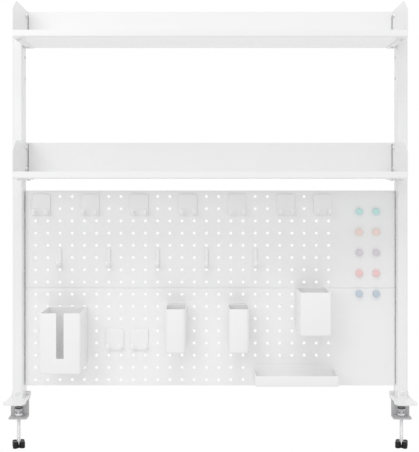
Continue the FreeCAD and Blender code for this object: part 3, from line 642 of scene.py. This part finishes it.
def makeTallCup(node, column):
    s = tallCup
    row = s["row"]
    centre = (columnX(column) + columnX(column + 1)) / 2 + s["offset"]
    low = rowZ(row + 1) - s["drop"]
    bm = bmesh.new()
    openBox(bm, s, centre, low, rowZ(row) + s["rimRise"])
    raisedPlate(bm, centre, low, rowZ(row) + s["backRise"], s["width"], s["corner"])
    addPegs(bm, (column, column + 1), (row, row + 1))
    hang(bm, node, "_shell")


for number, column in enumerate(tallCup["columns"]):
    makeTallCup("tall_cup_%d" % (number + 1), column)

slotBox = {"width": 79.0, "depth": 107.0, "wall": 2.0, "round": 3.0, "foot": 3.0, "slot": 14.0,
           "slotRise": 30.0, "slotRound": 1.0, "cutterRise": 2.0, "cutterReach": 1.0,
           "edgeBreak": ((-0.4, 0.75), (0.25, 0.3), (0.8, 0.0)), "sharp": 40,
           "columns": (2, 3), "rows": (10, 12)}


def slotCutter(s, centre, low, high):
    # the front slot, open at the top; its edges widen by (depth, growth) pairs at the outer face
    bottom = low.z + s["slotRise"]
    tall = high.z + s["cutterRise"] - bottom
    front = wall["hang"] - s["depth"]
    radii = [s["slotRound"]] * 4
    loops = []
    for depth, wider in s["edgeBreak"] + ((s["wall"] + s["cutterReach"], 0.0),):
        loops.append([v(centre + x, front + depth, bottom + tall / 2 + z)
                      for x, z in inset(s["slot"], tall, radii, -wider)])
    bm = bmesh.new()
    loft(bm, loops)
    return toMesh(bm, "slotCutter", whitePlastic)


def makeSlotBox(node):
    s = slotBox
    low, high = boxMm(node)
    centre = (low.x + high.x) / 2
    bm = bmesh.new()
    openBox(bm, s, centre, low.z, high.z)
    box = toMesh(bm, node + "_shell", whitePlastic)
    cutter = slotCutter(s, centre, low, high)
    cut = box.modifiers.new("slot", "BOOLEAN")
    cut.operation = "DIFFERENCE"
    cut.object = cutter
    cut.solver = "EXACT"
    bake(box)
    bpy.data.objects.remove(cutter)
    bm = bmesh.new()
    bm.from_mesh(box.data)
    addPegs(bm, s["columns"], s["rows"])
    bm.to_mesh(box.data)
    bm.free()
    tidyNormals(box, s["sharp"])
    seat(box, node + "_body", "white_plastic", node)


makeSlotBox("slot_box")

smallBox = {"width": 60.0, "depth": 105.0, "wall": 2.0, "round": 3.0, "foot": 3.0, "columns": (22, 23),
            "rows": (9, 10)}
lowTray = {"width": 165.0, "depth": 75.0, "wall": 2.0, "round": 3.0, "foot": 3.0, "backRise": 8.0,
           "backCorner": 3, "columns": (19, 23), "rows": (14,)}


def makeSmallBox(node):
    s = smallBox
    low, high = boxMm(node)
    bm = bmesh.new()
    openBox(bm, s, (low.x + high.x) / 2, low.z, high.z)
    addPegs(bm, s["columns"], s["rows"])
    hang(bm, node, "_shell")


def makeLowTray(node):
    s = lowTray
    low, high = boxMm(node)
    centre = (low.x + high.x) / 2
    bm = bmesh.new()
    openBox(bm, s, centre, low.z, high.z - s["backRise"])
    raisedPlate(bm, centre, low.z, high.z, s["width"], s["backCorner"])
    addPegs(bm, s["columns"], s["rows"])
    hang(bm, node, "_shell")


makeSmallBox("small_box")
makeLowTray("low_tray")
print("cups and boxes ready")

# painted shade: thin dark strips where each shelf's back wall meets its end plates, standing in for the
# shadow in that corner

shadeStrip = {"wide": 1.0, "front": 23.3, "back": 23.8, "sunk": 0.02, "rise": 3.0,
         "tops": {"upper": 67.0, "lower": 72.0}}


def makeShadeStrips(level):
    low, high = boxMm(level + "_shelf_tray")
    bm = bmesh.new()
    for side in (-1, 1):
        edge = high.x - shadeStrip["sunk"] if side > 0 else low.x + shadeStrip["sunk"]
        inner = edge - side * shadeStrip["wide"]
        corners = ((inner, shadeStrip["front"]), (edge, shadeStrip["front"]),
                   (edge, shadeStrip["back"]), (inner, shadeStrip["back"]))
        ends = (low.z + shadeStrip["rise"], low.z + shadeStrip["tops"][level])
        loft(bm, [[v(x, y, z) for x, y in corners] for z in ends])
    # the dark rubber finish on these strips is painted shade, not a rubber part
    seat(toMesh(bm, level + "_shelf_slits", rubber), "frame", "black_rubber")


for level in shadeStrip["tops"]:
    makeShadeStrips(level)
print("shelf strips ready")

# magnets

magnet = {"sides": 48, "dome": 0.5, "edge": 1.6, "steps": 5, "backEdge": 0.5, "groove": 0.35,
          "grooveFrom": 2.2, "grooveMiddle": 2.5, "grooveTo": 2.8, "tip": 0.3}


def makeMagnet(node, tone):
    s = magnet
    low, high = boxMm(node)
    r = (high.x - low.x) / 2
    back, edge, steps = high.y, s["edge"], s["steps"]
    faceY = low.y + s["dome"]
    section = [(r - s["backEdge"], back), (r, back - s["backEdge"]), (r, back - s["grooveFrom"]),
               (r - s["groove"], back - s["grooveMiddle"]), (r, back - s["grooveTo"])]
    for i in range(steps + 1):
        a = math.pi / 2 * i / steps
        section.append((r - edge + edge * math.cos(a), faceY + edge - edge * math.sin(a)))
    for i in range(1, steps + 1):
        t = 1 - i / steps
        section.append((max((r - edge) * t, s["tip"]), low.y + s["dome"] * t * t))
    bm = bmesh.new()
    loft(bm, turnedFront((low.x + high.x) / 2, (low.z + high.z) / 2, section, s["sides"]))
    seat(toMesh(bm, node + "_disc", magnetSkins[tone]), node + "_body", "magnet_" + tone, node)


for tone in magnetTones:
    for number in (1, 2):
        makeMagnet("magnet_%s_%d" % (tone, number), tone)
print("magnets ready")

# clamps

clampScrew = {"pitch": 1.25, "radius": 4.0, "depth": 0.34, "sides": 28, "perTurn": 6, "flank": 1.35,
              "flankCut": 0.15, "ball": 4.6, "ballFlat": 3.6, "bearing": 3.0, "threadTop": 5.0,
              "plainLow": 6.0, "edge": 0.5, "neckEdge": 0.4, "topGap": 0.05, "ballAngles": (-45, 60, 12),
              "sharp": 50}


def makeClampScrew(node, body):
    s = clampScrew
    low, high = boxMm(node)
    x, y = (low.x + high.x) / 2, (low.y + high.y) / 2
    radius, root, edge = s["radius"], s["radius"] - s["depth"], s["edge"]
    start, stop = low.z + s["plainLow"], high.z - s["threadTop"] - s["ball"]
    loops = turned(x, y, [(radius - edge, low.z), (radius, low.z + edge), (radius, start - edge),
                          (root, start)], s["sides"])
    steps = int((stop - start) / s["pitch"] * s["perTurn"])
    for k in range(1, steps):
        z = start + (stop - start) * k / steps
        points = []
        for i, a in enumerate(angles(s["sides"])):
            # a vee with a flat crest and root that climbs one pitch a turn
            wave = abs(2 * ((z / s["pitch"] - i / s["sides"]) % 1.0) - 1)
            crest = min(max(wave * s["flank"] - s["flankCut"], 0.0), 1.0)
            reach = radius - s["depth"] * (1 - crest)
            points.append(v(x + reach * math.cos(a), y + reach * math.sin(a), z))
        loops.append(points)
    # neck and ball, flat on top where it bears in the cup
    section = [(root, stop), (radius - s["neckEdge"], stop + edge)]
    ballZ = high.z - math.sqrt(s["ball"] ** 2 - s["ballFlat"] ** 2)
    for degrees in range(*s["ballAngles"]):
        a = math.radians(degrees)
        z = ballZ + s["ball"] * math.sin(a)
        if z < high.z - s["topGap"]:
            section.append((s["ball"] * math.cos(a), z))
    section.append((s["bearing"], high.z))
    bm = bmesh.new()
    loft(bm, loops + turned(x, y, section, s["sides"]))
    seat(toMesh(bm, node + "_thread", chrome, s["sharp"]), body, "chrome_screw", node)


knob = {"hub": 8.0, "hubHeight": 7.0, "hubEdge": 1.0, "crownDrop": 1.2, "crownEdge": (0.5, 0.3),
        "crownFlat": 1.4, "dish": 0.4, "dishFoot": 2.6, "dishEdge": 2.2, "bore": 4.05,
        "boreEdge": (0.7, 0.6), "floor": 1.0, "lobe": 5.4, "offset": 9.8, "lobes": 4, "turn": 30.0,
        "dome": 2.8, "domeSteps": 7, "foot": 1.4, "footSteps": 5, "tip": 0.3, "sides": 32, "sharp": 60}


def makeKnob(node, body):
    s = knob
    low, high = boxMm(node)
    x, y = (low.x + high.x) / 2, (low.y + high.y) / 2
    base, top, hub, bore = low.z, high.z, s["hub"], s["bore"]
    hubTop = base + s["hubHeight"]
    # a dished underside, the hub's side and crown, then down the screw's bore
    section = [(s["tip"], base + s["dish"]), (hub - s["dishFoot"], base + s["dish"]),
               (hub - s["dishEdge"], base), (hub - s["hubEdge"], base), (hub, base + s["hubEdge"]),
               (hub, hubTop - s["crownDrop"]), (hub - s["crownEdge"][0], hubTop - s["crownEdge"][1]),
               (hub - s["crownFlat"], hubTop), (bore + s["boreEdge"][0], hubTop),
               (bore, hubTop - s["boreEdge"][1]), (bore, base + s["floor"]), (s["tip"], base + s["floor"])]
    bm = bmesh.new()
    lathe(bm, x, y, section, s["sides"])
    # lobes rise around the hub, domed at the top; the two knobs mirror each other
    lobe, foot, dome = s["lobe"], s["foot"], s["dome"]
    section = [(lobe - inward * foot, base + along * foot) for inward, along in quarter(s["footSteps"])]
    section += [(lobe - inward * dome, top - along * dome)
                for inward, along in reversed(quarter(s["domeSteps"]))]
    section.append((s["tip"], top))
    for k in range(s["lobes"]):
        a = math.radians(s["turn"] + 360 * k / s["lobes"])
        lobeX = x + s["offset"] * math.cos(a) * (1 if x > 0 else -1)
        lathe(bm, lobeX, y + s["offset"] * math.sin(a), section, s["sides"])
    seat(toMesh(bm, node + "_lobed", blackKnob, s["sharp"]), body, "black_plastic", node)


padShape = {"sides": 40, "edge": 0.3, "foot": 2.0, "footOut": 1.6, "waist": (1.1, 3.6), "flareDrop": 1.4,
            "bandDrop": 1.0, "bandTop": 0.2, "mouth": 4.3, "mouthFlare": (0.35, 2.6), "socket": 0.2,
            "boss": 4.8, "roof": 1.5, "roofRise": 0.05, "core": 0.5,
            "ring": 4.85, "ringEdge": 0.7, "ringInner": 0.4, "grooveOut": 0.5, "grooveIn": 0.2,
            "grooveDepth": 0.4, "sharp": 30}


def makePad(cup, pad, body):
    s = padShape
    low, high = boxMm(cup)
    ringLow, ringHigh = boxMm(pad)
    x, y = (low.x + high.x) / 2, (low.y + high.y) / 2
    r = (high.x - low.x) / 2
    seatZ, edge, mouth, boss = ringLow.z, s["edge"], s["mouth"], s["boss"]
    # once round: mouth, skirt, shoulder under the rubber, boss, socket roof
    section = [(mouth, low.z + edge), (mouth + edge, low.z), (r - s["foot"], low.z),
               (r - s["footOut"], low.z + edge), (r - s["waist"][0], seatZ - s["waist"][1]),
               (r - edge, seatZ - s["flareDrop"]), (r, seatZ - s["bandDrop"]), (r, seatZ - s["bandTop"]),
               (r - edge, seatZ), (boss, seatZ), (boss, high.z - edge), (boss - edge, high.z),
               (s["core"], high.z), (s["core"], seatZ - s["roof"] + s["roofRise"]),
               (mouth + s["socket"], seatZ - s["roof"]),
               (mouth + s["mouthFlare"][0], low.z + s["mouthFlare"][1])]
    bm = bmesh.new()
    lathe(bm, x, y, section, s["sides"], True)
    seat(toMesh(bm, cup + "_turned", zinc, s["sharp"]), body, "zinc_plate", cup)
    # the rubber has one round groove in its face
    inner, top = s["ring"], ringHigh.z
    middle = (inner + r) / 2
    section = [(inner, seatZ), (r - edge, seatZ), (r, seatZ + edge), (r, top - s["ringEdge"]),
               (r - s["ringEdge"], top), (middle + s["grooveOut"], top),
               (middle + s["grooveIn"], top - s["grooveDepth"]),
               (middle - s["grooveIn"], top - s["grooveDepth"]), (middle - s["grooveOut"], top),
               (inner + s["ringInner"], top), (inner, top - s["ringInner"])]
    bm = bmesh.new()
    lathe(bm, x, y, section, s["sides"], True)
    seat(toMesh(bm, pad + "_ring", rubber, s["sharp"]), body, "black_rubber", pad)


for side in ("left", "right"):
    makeClampScrew(side + "_clamp_screw", side + "_screw")
    makeKnob(side + "_clamp_knob", side + "_screw")
    makePad(side + "_pad_cup", side + "_pad_rubber", side + "_pad")
print("clamps ready")

# fasteners: modelled once, set on their points by geometry nodes; each part's z = 0 is its seat

fastener = {"sharp": 30, "weld": 1e-6}  # weld in metres
bolt = {"head": 5.2, "height": 3.2, "shank": 3.0, "socket": 2.05, "socketDepth": 1.9, "sides": 24,
        "edge": 0.3, "flatEdge": 0.2, "crown": ((0.93, 0.62), (0.75, 0.9), (0.52, 1.0)), "socketLip": 1.08}
cross = {"arm": 2.0, "width": 0.8, "depth": 1.0, "taper": 0.9, "sides": 24,
         "crown": ((1.0, 0.35), (0.9, 0.72), (0.6, 1.0)), "nearZero": 1e-6}
nut = {"sides": 48, "chamfer": 0.5, "slope": 0.25, "faceInset": 0.1}


def hexReach(inner, offset, limit=math.inf):
    # a hexagon's radius at an angle; inner is to its flats, and offset turns it
    def reach(a):
        inSector = (a + offset) % (math.pi / 3) - math.pi / 6
        return min(inner / math.cos(inSector), limit)
    return reach


def buttonHead(scale, reach):
    # crowned head with a hexagon socket, shank below
    r, h, shank = bolt["head"] * scale, bolt["height"], bolt["shank"] * scale
    section = [(shank, -reach), (shank, 0.0), (r - bolt["flatEdge"], 0.0), (r, bolt["edge"])]
    section += [(r * wide, h * tall) for wide, tall in bolt["crown"]]
    loops = turned(0, 0, section, bolt["sides"])
    inner = bolt["socket"] * scale * math.cos(math.pi / 6)
    for grow, z in ((bolt["socketLip"], h), (1.0, h - bolt["flatEdge"]), (1.0, h - bolt["socketDepth"])):
        loops.append(levelLoop(0, 0, z, bolt["sides"], hexReach(inner * grow, math.pi / 6)))
    bm = bmesh.new()
    loft(bm, loops)
    return bm


def crossReach(a):
    # a plus sign's outline, as a radius at an angle
    c, s = (max(abs(f), cross["nearZero"]) for f in (math.cos(a), math.sin(a)))
    long, short = cross["arm"], cross["width"] / 2
    return max(min(long / c, short / s), min(short / c, long / s))


def panHead(size, reach):
    # rounded head with a cross recess
    head, height, sides = size["head"], size["height"], cross["sides"]
    section = [(size["shank"], -reach), (size["shank"], 0.0), (head, 0.0)]
    section += [(head * wide, height * tall) for wide, tall in cross["crown"]]
    loops = turned(0, 0, section, sides)
    loops.append(levelLoop(0, 0, height, sides, crossReach))
    loops.append(levelLoop(0, 0, height - cross["depth"], sides, lambda a: crossReach(a) * cross["taper"]))
    bm = bmesh.new()
    loft(bm, loops)
    return bm


def hexNut(flats, height, bore):
    chamfer, sides = nut["chamfer"], nut["sides"]
    slope = chamfer + nut["slope"]

    def hexLoop(limit, z):
        return levelLoop(0, 0, z, sides, hexReach(flats / 2, 0.0, limit))

    face = flats / 2 - nut["faceInset"]
    corner = flats / 2 / math.cos(math.pi / 6)
    low = turned(0, 0, [(bore, chamfer), (bore + chamfer, 0)], sides)
    high = turned(0, 0, [(bore + chamfer, height), (bore, height - chamfer)], sides)
    loops = low + [hexLoop(face, 0), hexLoop(corner, slope), hexLoop(corner, height - slope),
                   hexLoop(face, height)] + high
    bm = bmesh.new()
    loft(bm, loops + [loops[0]], False, False)
    return bm


def hardwareGroup():
    group, keys = geometryGroup("hardwareOnPoints", (
        ("Part", "NodeSocketObject"), ("Spin", "NodeSocketFloat"), ("Seed", "NodeSocketInt"),
        ("Material", "NodeSocketMaterial")))
    given = addNode(group, "NodeGroupInput")
    part = addNode(group, "GeometryNodeObjectInfo", {"Object": given["Part"]})["Geometry"]
    facing = addNode(group, "GeometryNodeInputNamedAttribute", {"Name": "facing"}, data_type="FLOAT_VECTOR")
    aligned = addNode(group, "FunctionNodeAlignRotationToVector", {"Vector": facing["Attribute"]}, axis="Z")
    copies = addNode(group, "GeometryNodeInstanceOnPoints", {
        "Points": given["Geometry"], "Instance": part, "Rotation": aligned["Rotation"]})["Instances"]
    # each one is tightened to its own angle; the float sockets are the fourth input and second output
    chance = addNode(group, "FunctionNodeRandomValue", {3: given["Spin"], "Seed": given["Seed"]},
                     data_type="FLOAT")[1]
    about = addNode(group, "ShaderNodeCombineXYZ", {"Z": chance})[0]
    spun = addNode(group, "GeometryNodeRotateInstances", {
        "Instances": copies, "Rotation": about, "Local Space": True})["Instances"]
    solid = addNode(group, "GeometryNodeRealizeInstances", {"Geometry": spun})["Geometry"]
    painted = addNode(group, "GeometryNodeSetMaterial", {"Geometry": solid, "Material": given["Material"]})
    addNode(group, "NodeGroupOutput", {"Geometry": painted["Geometry"]})
    return group, keys


hardware, hardwareInputs = hardwareGroup()


def setHardware(node, bm, places, seed, skin=zinc, spin=1.0):
    # places are (point, facing) pairs; the modelled part's own Z turns to the facing
    name = node + "_set"
    part = toMesh(bm, name + "Part", skin, fastener["sharp"])
    cloud = bpy.data.meshes.new(name)
    cloud.from_pydata([p for p, way in places], [], [])
    facing = cloud.attributes.new("facing", "FLOAT_VECTOR", "POINT")
    facing.data.foreach_set("vector", [c for p, way in places for c in way])
    obj = place(name, cloud)
    runGroup(obj, hardware, hardwareInputs, {"Part": part, "Spin": spin, "Seed": seed, "Material": skin})
    bpy.data.objects.remove(part)
    seat(obj, "frame", "zinc_plate", node)


def solidBoxes(node):
    # lowest and highest corners of the separate solids in one CAD node
    bm = bmesh.new()
    bm.from_mesh(nodes[node].data)
    bmesh.ops.remove_doubles(bm, verts=bm.verts, dist=fastener["weld"])
    seen, boxes = set(), []
    for vert in bm.verts:
        if vert in seen:
            continue
        stack, group = [vert], []
        seen.add(vert)
        while stack:
            here = stack.pop()
            group.append(here.co.copy())
            for edge in here.link_edges:
                other = edge.other_vert(here)
                if other not in seen:
                    seen.add(other)
                    stack.append(other)
        boxes.append((Vector([min(c[k] for c in group) for k in range(3)]),
                      Vector([max(c[k] for c in group) for k in range(3)])))
    bm.free()
    return boxes


def headSeats(node, height, facingOf):
    # where each head sits, and the length of the shank behind it
    places, length = [], 0
    for low, high in solidBoxes(node):
        point = (low + high) / 2
        facing = facingOf(point)
        k = [abs(c) for c in facing].index(1)
        point[k] = (high[k] if facing[k] > 0 else low[k]) - facing[k] * height * mm
        length = (high[k] - low[k]) / mm - height
        places.append((point, facing))
    return places, length


# the heads of the shelves' bolts and the panels' screws face the middle
sideBolts = {"shelf_bolts": {"scale": 1.0, "seed": 11}, "panel_screws": {"scale": 2.5 / 3.0, "seed": 12}}
for node, size in sideBolts.items():
    places, length = headSeats(node, bolt["height"], lambda p: (-1 if p.x > 0 else 1, 0, 0))
    setHardware(node, buttonHead(size["scale"], length), places, size["seed"])

crossScrews = {
    "shelf_screws": {"head": 4.0, "height": 2.2, "shank": 2.0, "facing": (0, 0, -1), "seed": 13,
                     "skin": zinc},
    "foot_bolts": {"head": 5.2, "height": 3.2, "shank": 3.0, "facing": (0, -1, 0), "seed": 14,
                   "skin": whiteCoat}}
for node, size in crossScrews.items():
    places, length = headSeats(node, size["height"], lambda p: size["facing"])
    setHardware(node, panHead(size, length), places, size["seed"], size["skin"])

nuts = {"foot_nuts": {"flats": 10.0, "height": 5.0, "bore": 3.05, "facing": (0, 1, 0), "seed": 15},
        "jaw_nuts": {"flats": 13.0, "height": 6.5, "bore": 4.05, "facing": (0, 0, 1), "seed": 16}}
for node, size in nuts.items():
    places = []
    for low, high in solidBoxes(node):
        base = (low + high) / 2
        k = size["facing"].index(1)
        base[k] = low[k]
        places.append((base, size["facing"]))
    setHardware(node, hexNut(size["flats"], size["height"], size["bore"]), places, size["seed"], spin=0.0)

for node in ("jaw_screws", "post_inserts"):
    paint(nodes[node], zinc)
print("fasteners ready")

# CAD sheets and tubes keep their shape and get their finish

skins = {"_post": whiteCoat, "_foot_plate": whiteCoat, "_shelf_tray": whiteCoat, "_left_end": whiteCoat,
         "_right_end": whiteCoat, "_jaw_bracket": greyCoat, "post_caps": whitePlastic}
for name, obj in nodes.items():
    for ending, skin in skins.items():
        if name.endswith(ending):
            paint(obj, skin)
print("sheets and tubes painted")

# stage: metres from here on

stage = {"floorZ": -0.72, "front": -3.0, "rear": 1.8, "half": 2.4, "paper": 0.95, "rough": 0.9}
studio = {"level": 0.70, "lamps": {
    "key": {"at": (-1.05, -2.45, 1.0), "aim": (0, 0, 0.3), "size": (0.9, 0.9), "power": 6.0},
    "high": {"at": (-0.3, -1.7, 3.0), "aim": (0, 0, 0.2), "size": (2.4, 1.6), "power": 24.0}}}
view = {"place": (0.0, -1.905, 0.4316), "lens": 74.2, "sensor": 36.0, "shift": (-0.0013, -0.0854),
        "far": 60.0}


def makeFloor():
    corners = [(-stage["half"], stage["front"]), (stage["half"], stage["front"]),
               (stage["half"], stage["rear"]), (-stage["half"], stage["rear"])]
    mesh = bpy.data.meshes.new("floor")
    mesh.from_pydata([(x, y, stage["floorZ"]) for x, y in corners], [], [(0, 1, 2, 3)])
    skin = bpy.data.materials.new("floorPaper")
    skin.use_nodes = True
    tone = stage["paper"]
    setInputs(skin.node_tree, skin.node_tree.nodes["Principled BSDF"], {
        "Base Color": (tone, tone, tone, 1), "Roughness": stage["rough"]})
    mesh.materials.append(skin)
    floor = place("floor", mesh)


def studioLight():
    # even light from all round; camera and mirror rays see plain white
    sky = bpy.data.worlds.new("studio")
    bpy.context.scene.world = sky
    sky.use_nodes = True
    tree = sky.node_tree
    soft = tree.nodes["Background"]
    setInputs(tree, soft, {"Color": (1, 1, 1, 1), "Strength": studio["level"]})
    white = addNode(tree, "ShaderNodeBackground", {"Color": (1, 1, 1, 1)})
    rays = addNode(tree, "ShaderNodeLightPath")
    either = mathNode(tree, "MAXIMUM", rays["Is Camera Ray"], rays["Is Glossy Ray"])
    mix = addNode(tree, "ShaderNodeMixShader", {0: either, 1: soft.outputs[0], 2: white[0]})
    setInputs(tree, tree.nodes["World Output"], {"Surface": mix[0]})


def areaLight(name, at, aim, size, power):
    data = bpy.data.lights.new(name, "AREA")
    data.shape = "RECTANGLE"
    data.size, data.size_y = size
    data.energy = power
    lamp = place(name, data)
    lamp.location = at
    lamp.rotation_euler = (Vector(aim) - Vector(at)).to_track_quat("-Z", "Y").to_euler()
    lamp.visible_camera = False


def makeCamera():
    # level, square to the boards
    data = bpy.data.cameras.new("camera")
    data.lens = view["lens"]
    data.sensor_width = view["sensor"]
    data.shift_x, data.shift_y = view["shift"]
    data.clip_end = view["far"]
    camera = place("camera", data)
    camera.location = view["place"]
    camera.rotation_euler = (math.radians(90), 0, 0)
    bpy.context.scene.camera = camera


makeFloor()
studioLight()
for name, lamp in studio["lamps"].items():
    areaLight(name, **lamp)
bpy.context.scene.view_settings.view_transform = "Standard"
makeCamera()
print("stage ready")
